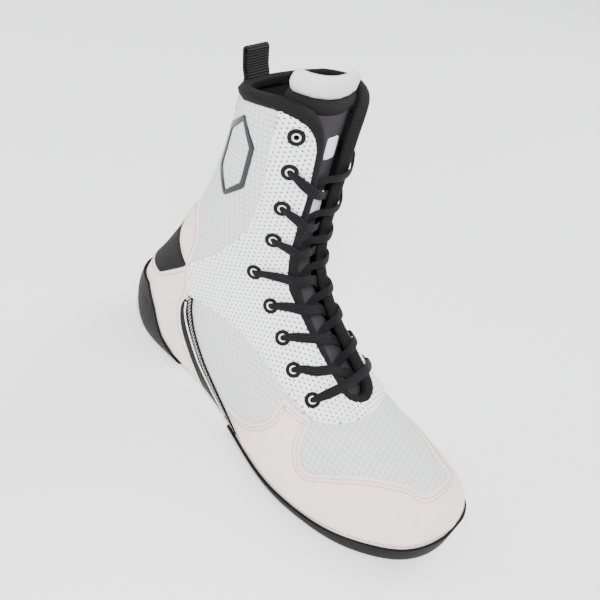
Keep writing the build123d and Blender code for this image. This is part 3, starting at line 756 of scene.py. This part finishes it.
# outline, its corners, base, thickness, material
PANELS = {
    "toe_cap": (TOE_CAP, (0, 1, 2, 6, 7), 0.1, 1.2, "suede"),
    "heel_foxing": (HEEL_FOXING, (0, 1, 6, 7, 8, 9, 10), 0.1, 1.2, "suede"),
    "heel_strap": (HEEL_STRAP, range(8), 0.1, 1.2, "strap"),
    "ankle_patches": (ANKLE_PATCH, (0, 2, 5), 0.1, 1.2, "suede"),
    "side_scoops": (SIDE_SCOOP, (0, 4, 5, 9), 0.1, 1.4, "tpu"),
}
sheets = {}
for name, (outline, corners, base, thick, look) in PANELS.items():
    region = panel_region(outline, corners)
    _, sheets[name] = skin(name, region, base, thick, MATERIAL[look], node=name)
FRONT_ARC_X, FRONT_ARC_R, FRONT_ARC_SQUASH = 176, 29.5, 0.76
front_arc = FRONT_ARC_R - np.hypot(X - FRONT_ARC_X, Y * FRONT_ARC_SQUASH)
eyestay_side = inside(smooth_outline(EYESTAY, (0, 6, 7, 13, 14, 15, 16, 17)))
eyestay_side = np.where((X > FRONT_ARC_X) & (Z > 45), front_arc, eyestay_side)
eyestay_region = np.minimum(np.minimum(upper_zone, eyestay_side), near_eyelet)
_, sheets["eyestay"] = skin("eyestay_panels", eyestay_region, 0.1, 1.2, MATERIAL["film"],
                            node=("eyestay_lateral", "eyestay_medial"))


# ---------------------------------------------------------------- binding
BINDING_OUT, BINDING_LAP = 2.2, 4.1
band = np.minimum(opening + BINDING_OUT, BINDING_LAP - opening)
skin("edge_binding", band, -4.9, 7.0, MATERIAL["binding"], puff=3.0, node="edge_binding")


def off_binding(point):
    """True where a stitch isn't under the binding, the sole or an eyelet."""
    hit = tree.find(tuple(point))[1]
    return opening[hit] > BINDING_LAP + 0.6 and above_feather[hit] > 3.5 and near_eyelet[hit] > 3.2


# insets from the panel's edge, and the thread
STITCH_ROWS = {
    "eyestay": ((1.9,), "thread"), "toe_cap": ((1.7, 4.1), "suede_thread"),
    "heel_foxing": ((1.8,), "suede_thread"), "heel_strap": ((1.6,), "dark_thread"),
    "ankle_patches": ((1.8,), "suede_thread"),
}
for name, (insets, look) in STITCH_ROWS.items():
    for row, inset in enumerate(insets):
        stitching(f"{name}_stitches_{row + 1}", sheets[name], inset, MATERIAL[look], off_binding)


# ---------------------------------------------------------------- side badges
def hexagon(centre, width, height, border=0.0):
    """A pointed-top hexagon, drawn in by a border."""
    half_w, half_h = width / 2 - border, height / 2 - border * 1.2
    shoulder = half_h * 0.5
    x, z = centre
    return np.array([(x, z + half_h), (x + half_w, z + shoulder), (x + half_w, z - shoulder),
                     (x, z - half_h), (x - half_w, z - shoulder), (x - half_w, z + shoulder)], float)


BADGE, BADGE_LINE = ((66, 197), 26, 58), 3.2
badge_ring = np.minimum(inside(hexagon(*BADGE)), -inside(hexagon(*BADGE, BADGE_LINE)))
skin("side_badges", badge_ring, 0.05, 0.85, MATERIAL["gloss"], node="side_badges")

# ---------------------------------------------------------------- tongue
TONGUE_ZONE = [(207, 40), (207, 120), (150, 160), (145, 300), (78, 300), (80, 165), (84, 116),
               (112, 84), (150, 62)]
in_tongue = inside(np.array(TONGUE_ZONE, float))
TONGUE_HALF, WIDER_AT_TOP = 25.0, 7         # the tongue sits towards the lateral side at its top
SEAM_Z, FOLD_Z, TOP_Z = 240.6, 250.2, 262.5
wider_at_top = np.where(Y < 0, WIDER_AT_TOP * np.clip((Z - 200) / 40, 0, 1), 0)
across_tongue = TONGUE_HALF + wider_at_top - off_centre
tongue_region = np.minimum(np.minimum(across_tongue, in_tongue), SEAM_Z - Z)
skin("tongue_front", tongue_region, -9.6, 1.0, MATERIAL["tongue"], node="tongue_front")
skin("tongue_padding", tongue_region - 0.6, -12.7, 3.0, MATERIAL["foam"], node="tongue_padding")
skin("tongue_lining", tongue_region, -13.8, 1.0, MATERIAL["lip"], node="tongue_lining")
LIP_FROM_X, LIP_MEDIAL = 84.0, 23
across_top = np.minimum(np.where(Y < 0, X - LIP_FROM_X, FAR), LIP_MEDIAL - Y)
trim_region = np.minimum(np.minimum(across_top + 0.5, in_tongue),
                         np.minimum(Z - SEAM_Z + 0.2, FOLD_Z - 0.3 - Z))
trim, _ = skin("tongue_trim", trim_region, -13.8, 7.0, MATERIAL["trim"], puff=4.2, node="tongue_trim")
lip_region = soft_min(np.minimum(across_top, in_tongue), np.minimum(Z - FOLD_Z, TOP_Z - Z), 6)
lip, _ = skin("tongue_lip", lip_region, -13.2, 5.4, MATERIAL["lip"], puff=3.4, node="tongue_lip",
              wrinkle=lambda p: 0.35 * np.sin(p[:, 1] * 0.55) * np.sin(p[:, 2] * 0.9), body="tongue_lip")
TONGUE_PATCHES = (("lace_keeper", 173, 188, 7.5, "keeper"), ("tongue_badge", 212, 226, 6, "print"))
for name, low, high, half, look in TONGUE_PATCHES:
    patch = np.minimum(np.minimum(half - off_centre, in_tongue), np.minimum(Z - low, high - Z))
    skin(name, patch, -8.55, 0.8, MATERIAL[look], node=name)


# ---------------------------------------------------------------- eyelets
def ring_mesh(name, material, node, profile, ridges=0, ridge=0.0, around=96):
    """Rings at every eyelet.  The profile goes round a closed section: radius, height, share of ridge."""
    verts, faces = [], []
    for _, _, centre, normal in EYELET_CENTRES:
        side = np.cross(normal, (0, 0, 1.0))
        side /= np.linalg.norm(side)
        up = np.cross(normal, side)
        start = len(verts)
        for k in range(around):
            turn = tau * k / around
            lift = ridge * (0.5 + 0.5 * cos(ridges * turn)) if ridges else 0.0
            for radius, height, soft in profile:
                direction = side * cos(turn) + up * sin(turn)
                verts.append(centre + direction * radius + normal * (height + lift * soft))
        n = len(profile)
        for k in range(around):
            for j in range(n):
                a, b = start + k * n + j, start + k * n + (j + 1) % n
                c, d = start + (k + 1) % around * n + (j + 1) % n, start + (k + 1) % around * n + j
                faces.append([a, d, c, b])
    dress(make_object(name, verts, faces), material, node)


ring_mesh("eyelet_rings", MATERIAL["ring"], "eyelet_rings",
          [(2.75, 1.0, 0), (2.75, 1.75, 0.2), (3.1, 2.1, 0.8), (3.9, 2.3, 1), (4.7, 2.15, 1), (5.2, 1.75, 1),
           (5.4, 1.0, 0)], ridges=22, ridge=0.35, around=154)
ring_mesh("eyelet_washers", MATERIAL["washer"], "eyelet_washers",
          [(1.7, 1.3, 0), (1.7, 1.7, 0), (1.9, 1.95, 0), (2.2, 2.05, 0), (2.7, 1.95, 0), (2.9, 1.6, 0),
           (2.9, 1.0, 0), (2.5, 1.0, 0)], around=48)
ring_mesh("eyelet_sleeves", MATERIAL["ring"], None,
          [(1.8, -4.3, 0), (1.8, 1.4, 0), (2.6, 1.2, 0), (2.6, -4.3, 0)], around=24)

# ---------------------------------------------------------------- lace
RIDGE = [
    (112.5, 232), (115, 209), (117, 184), (120, 162), (124.5, 147),
    (134, 127.5), (146, 113), (163, 99), (184, 84.5),
]
LACE_WIDTH, LACE_THICK, LACE_OVER, LACE_UNDER = 6.5, 1.5, 3.3, -6.5


def across_instep(level, y, height, width=1.0):
    """Point at a level between eyelet pairs, y off the centre line and height off the form."""
    k = min(int(level), len(EYELETS) - 2)
    part = level - k
    off, ex, ez = (EYELETS[k][i] + (EYELETS[k + 1][i] - EYELETS[k][i]) * part for i in (2, 0, 1))
    rx, rz = (RIDGE[k][i] + (RIDGE[k + 1][i] - RIDGE[k][i]) * part for i in (0, 1))
    forward = 1 - min(abs(y) / off, 1) ** 2
    point, normal = on_form(ex * (1 - forward) + rx * forward, y, ez * (1 - forward) + rz * forward)
    return point + normal * height, normal, width


def eyelet(k, side, height, width):
    """Point on the axis of an eyelet."""
    centre, normal = next((c, n) for j, s, c, n in EYELET_CENTRES if (j, s) == (k, side))
    return centre + normal * height, normal, width


def crossing(k, side):
    """From eyelet k + 1 under one flap, across the tongue and over the other flap, to eyelet k."""
    from_off, to_off = EYELETS[k + 1][2], EYELETS[k][2]
    over = 1.9 if side < 0 else 0.0
    under, under_edge, middle, rising, over_edge, on_flap, at_ring = (
        (1.0, 1.0, 0.80, 0.62, 0.48, 0.28, 0.08) if side < 0 else (0.93, 0.70, 0.44, 0.31, 0.21, 0.10, 0.02))
    edge = 14.5 if side < 0 else 12.0
    return [
        eyelet(k + 1, -side, -2.0, 0.45),
        eyelet(k + 1, -side, -5.0, 0.55),
        across_instep(k + under, -side * (from_off - 4.5), LACE_UNDER, 0.8),
        across_instep(k + under_edge, -side * 13, LACE_UNDER),
        across_instep(k + middle, 0, -6.1 + over),
        across_instep(k + rising, side * (edge - 5), 1.2),
        across_instep(k + over_edge, side * edge, LACE_OVER + 0.1),
        across_instep(k + on_flap, side * (to_off - 8), LACE_OVER),
        across_instep(k + at_ring, side * (to_off - 3.2), LACE_OVER, 0.8),
        eyelet(k, side, 2.0, 0.55),
        eyelet(k, side, -2.0, 0.45),
    ]


def bottom_bar():
    """The straight run between the lowest pair of eyelets."""
    level, off = len(EYELETS) - 1, EYELETS[-1][2]
    middle = [across_instep(level, y, height, width) for y, height, width in (
        (-off + 3.2, LACE_OVER, 0.8), (-off + 9, LACE_OVER, 1), (-11, LACE_OVER, 1), (0, 2.2, 1),
        (11, LACE_OVER, 1), (off - 9, LACE_OVER, 1), (off - 3.2, LACE_OVER, 0.8))]
    return ([eyelet(level, -1, -2.0, 0.45), eyelet(level, -1, 2.0, 0.55)] + middle
            + [eyelet(level, 1, 2.0, 0.55), eyelet(level, 1, -2.0, 0.45)])


def tail(side):
    """From the last laced eyelet, down inside the shaft."""
    out = [eyelet(1, side, -2.0, 0.45), eyelet(1, side, -5.0, 0.6)]
    for x, y, z in ((90, 29, 211), (80, 31, 203), (74, 31, 186), (71, 31, 160), (70, 31, 134)):
        point, normal = on_form(x, side * y, z)
        out.append((point + normal * LACE_UNDER, normal, 0.9))
    return out


def lace_ribbon(verts, uvs, faces, stations, walked, wide=LACE_WIDTH, deep=LACE_THICK):
    """A flat-oval braid swept along a smooth line through the stations."""
    points = np.array([s[0] for s in stations])
    normals = np.array([s[1] for s in stations])
    widths = np.array([s[2] for s in stations])
    gaps = np.linalg.norm(np.diff(points, axis=0), axis=1)
    walk = np.concatenate([[0], np.cumsum(gaps)])
    samples = np.linspace(0, walk[-1], int(walk[-1] / 0.9) + 2)
    lines = []
    for values in (points, normals, widths[:, None]):
        slope = np.gradient(values, walk, axis=0)
        out = []
        for d in samples:
            i = min(np.searchsorted(walk, d, side="right") - 1, len(gaps) - 1)
            h = gaps[i]
            t = (d - walk[i]) / h
            out.append((2 * t**3 - 3 * t**2 + 1) * values[i] + (t**3 - 2 * t**2 + t) * h * slope[i]
                       + (3 * t**2 - 2 * t**3) * values[i + 1] + (t**3 - t**2) * h * slope[i + 1])
        lines.append(np.array(out))
    line, normal, width = lines
    along = np.gradient(line, axis=0)
    along /= np.linalg.norm(along, axis=1)[:, None]
    across = np.cross(normal, along)
    across /= np.maximum(np.linalg.norm(across, axis=1), 1e-6)[:, None]
    for _ in range(3):
        across[1:-1] = (across[:-2] + across[1:-1] + across[2:]) / 3
    across /= np.linalg.norm(across, axis=1)[:, None]
    up = np.cross(along, across)
    start, sides = len(verts), 16
    for i in range(len(samples)):
        half = wide / 2 * width[i, 0]
        thick = deep / 2 * (1 + 0.5 * (1 - width[i, 0]))
        for k in range(sides):
            turn = tau * k / sides
            c, s = cos(turn), sin(turn)
            edge = np.sign(c) * abs(c) ** 0.8 * half
            rise = np.sign(s) * abs(s) ** 0.7 * thick
            verts.append(line[i] + across[i] * edge + up[i] * rise)
            uvs.append((edge + (0 if s >= 0 else 20), walked + samples[i]))
    for i in range(len(samples) - 1):
        for k in range(sides):
            a, b = start + i * sides + k, start + i * sides + (k + 1) % sides
            faces.append([a, b, b + sides, a + sides])
    faces.append([start + k for k in range(sides - 1, -1, -1)])
    end = start + (len(samples) - 1) * sides
    faces.append([end + k for k in range(sides)])
    return walked + walk[-1]


verts, uvs, faces, walked = [], [], [], 0.0
runs = [crossing(k, side) for k in range(1, len(EYELETS) - 1) for side in (-1, 1)]
for stations in runs + [bottom_bar(), tail(-1), tail(1)]:
    walked = lace_ribbon(verts, uvs, faces, stations, walked)
dress(make_object("lace", verts, faces, uvs), MATERIAL["lace"], "lace")

# ---------------------------------------------------------------- braid and white slit by each scoop
def on_side(x, z, side):
    """Point of the form on one side of the boot, from its side-view place."""
    near = np.where(np.sign(Y) == side, np.hypot(X - x, Z - z), 1e9)
    return on_form(x, Y[np.argmin(near)], z)


def trim_line(name, line, height, wide, deep, look, node=None):
    """A narrow strip along a side-view line, on both sides of the boot."""
    verts, uvs, faces = [], [], []
    smooth_line = smooth_outline(line, (0, len(line) - 1), 4)[:4 * (len(line) - 1) + 1]
    for side in (-1, 1):
        stations = []
        for x, z in smooth_line:
            point, normal = on_side(x, z, side)
            stations.append((point + normal * height, normal, 1.0))
        lace_ribbon(verts, uvs, faces, stations, 0.0, wide, deep)
    dress(make_object(name, verts, faces, uvs), MATERIAL[look], node)


BRAID_LINE = [(62.6, 76.5), (65.4, 66), (72.6, 52.5), (83, 41), (95, 31.6), (112, 22.8), (128, 16), (140, 11)]
SLIT_LINE = [(60.2, 70), (62.2, 61), (69.0, 49.6), (80, 37.5), (91, 28.6), (108, 19.8), (124, 13)]
trim_line("side_braids", BRAID_LINE, 0.9, 4.2, 1.9, "braid", "side_braids")
trim_line("side_slits", SLIT_LINE, 1.35, 1.7, 0.7, "print")

# ---------------------------------------------------------------- pull tab
TAB_HALF, TAB_PLY = 10.0, 1.4


def webbing(name, path, node):
    """A strip of webbing swept along a side-view path, facing back; the cloth runs along the path."""
    line = np.array(path, float)
    gaps = np.linalg.norm(np.diff(line, axis=0), axis=1)
    walk = np.concatenate([[0], np.cumsum(gaps)])
    dense = np.arange(0, walk[-1], 0.5)
    line = np.stack([np.interp(dense, walk, line[:, k]) for k in (0, 1)], 1)
    for _ in range(4):
        line[1:-1] = (line[:-2] + 2 * line[1:-1] + line[2:]) / 4
    along = np.gradient(line, axis=0)
    along /= np.linalg.norm(along, axis=1)[:, None]
    normal = np.stack([along[:, 1], -along[:, 0]], 1)
    half = TAB_PLY / 2
    section = [(-TAB_HALF + half, half)] + [(y, half) for y in np.linspace(-8, 8, 9)] + [
        (TAB_HALF - half, half), (TAB_HALF, 0), (TAB_HALF - half, -half)] + [
        (y, -half) for y in np.linspace(8, -8, 9)] + [(-TAB_HALF + half, -half), (-TAB_HALF, 0)]
    verts, uvs, faces, n = [], [], [], len(section)
    for i, (x, z) in enumerate(line):
        for y, lift in section:
            verts.append((x + normal[i, 0] * lift, y, z + normal[i, 1] * lift))
            uvs.append((y, dense[i]))
    for i in range(len(line) - 1):
        for k in range(n):
            a, b = i * n + k, i * n + (k + 1) % n
            faces.append([a, b, b + n, a + n])
    faces += [list(range(n - 1, -1, -1)), [(len(line) - 1) * n + k for k in range(n)]]
    obj = make_object(name, verts, faces, uvs)
    obj.data.materials.append(MATERIAL["tab"])
    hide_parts(node)
    return obj


back = [(on_form(20, 0, z)[0] + on_form(20, 0, z)[1] * 2.7)[[0, 2]] for z in np.arange(207, 233, 3.0)]
base = webbing("pull_tab_base", back, "pull_tab_base")
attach(base, "boot")
TAB_FOLD, TAB_HEAD = (38.0, 233.4), (34.0, 244.4)
loop_path = [back[-2], (TAB_FOLD[0] - 2.3, 233.0), (TAB_HEAD[0] - 2.0, 244.4), (TAB_HEAD[0] - 1.2, 246.0),
             (TAB_HEAD[0] + 0.4, 246.4), (TAB_HEAD[0] + 1.8, 245.2), (TAB_HEAD[0] + 2.0, 243.5),
             (TAB_FOLD[0] + 0.6, 235.0), (TAB_FOLD[0] + 2.6, 231.5), (TAB_FOLD[0] + 4.0, 227.5)]
tab = webbing("pull_tab", loop_path, "pull_tab")
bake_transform(tab)

# ---------------------------------------------------------------- CAD pieces kept as they are
KEPT = {
    "aglets": "tpu", "forefoot_outsole": "toe_rubber",
    "heel_outsole": "heel_rubber", "midsole": "midsole", "arch_shank": "steel", "strobel_board": "board",
    "insole": "lining",
}
for name, look in KEPT.items():
    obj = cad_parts[name]
    for material_slot in obj.material_slots:
        material_slot.material = MATERIAL[look]

# ---------------------------------------------------------------- floor, light and camera
FLOOR_HALF = 40
floor_mesh = bpy.data.meshes.new("floor")
floor_mesh.from_pydata([(x * FLOOR_HALF, y * FLOOR_HALF, 0) for x, y in ((-1, -1), (1, -1), (1, 1), (-1, 1))],
                       [], [[0, 1, 2, 3]])
floor = bpy.data.objects.new("floor", floor_mesh)
bpy.context.scene.collection.objects.link(floor)
floor_look = Shader("floor_paint", "white_lining", (244, 244, 245), 0.8, Emission_Color=(1, 1, 1, 1),
                    Emission_Strength=0.22)
floor.data.materials.append(floor_look.material)


LIT_POINT = Vector((-0.03, 0.03, 0.09))


def area_light(name, position, size, power):
    """A round soft light that faces the boot."""
    data = bpy.data.lights.new(name, "AREA")
    data.shape, data.size, data.energy = "DISK", size, power
    obj = bpy.data.objects.new(name, data)
    obj.location = position
    obj.rotation_euler = (LIT_POINT - Vector(position)).to_track_quat("-Z", "Y").to_euler()
    bpy.context.scene.collection.objects.link(obj)


area_light("key", (0.5, -0.9, 1.3), 0.6, 46)
area_light("fill", (-1.3, -0.5, 0.9), 1.2, 12)
area_light("rim", (0.2, 1.2, 1.1), 1.0, 22)

world = bpy.data.worlds.new("studio")
bpy.context.scene.world = world
world.use_nodes = True
world.node_tree.nodes["Background"].inputs["Color"].default_value = (0.9, 0.92, 0.95, 1)
world.node_tree.nodes["Background"].inputs["Strength"].default_value = 0.92

# where the camera stands, its turn about the vertical, its tilt up from straight down, and its roll
CAMERA_AT = Vector((0.1639, -0.3641, 0.4514))
CAMERA_TURN, CAMERA_TILT, CAMERA_ROLL = 26.3172, 50.1219, 21.9564
camera_data = bpy.data.cameras.new("camera")
camera_data.lens, camera_data.sensor_width = 47.84, 36
camera = bpy.data.objects.new("camera", camera_data)
camera.matrix_world = Matrix.Translation(CAMERA_AT)
for angle, axis in ((CAMERA_TURN, "Z"), (CAMERA_TILT, "X"), (CAMERA_ROLL, "Z")):
    camera.matrix_world = camera.matrix_world @ Matrix.Rotation(radians(angle), 4, axis)
bpy.context.scene.collection.objects.link(camera)
bpy.context.scene.camera = camera
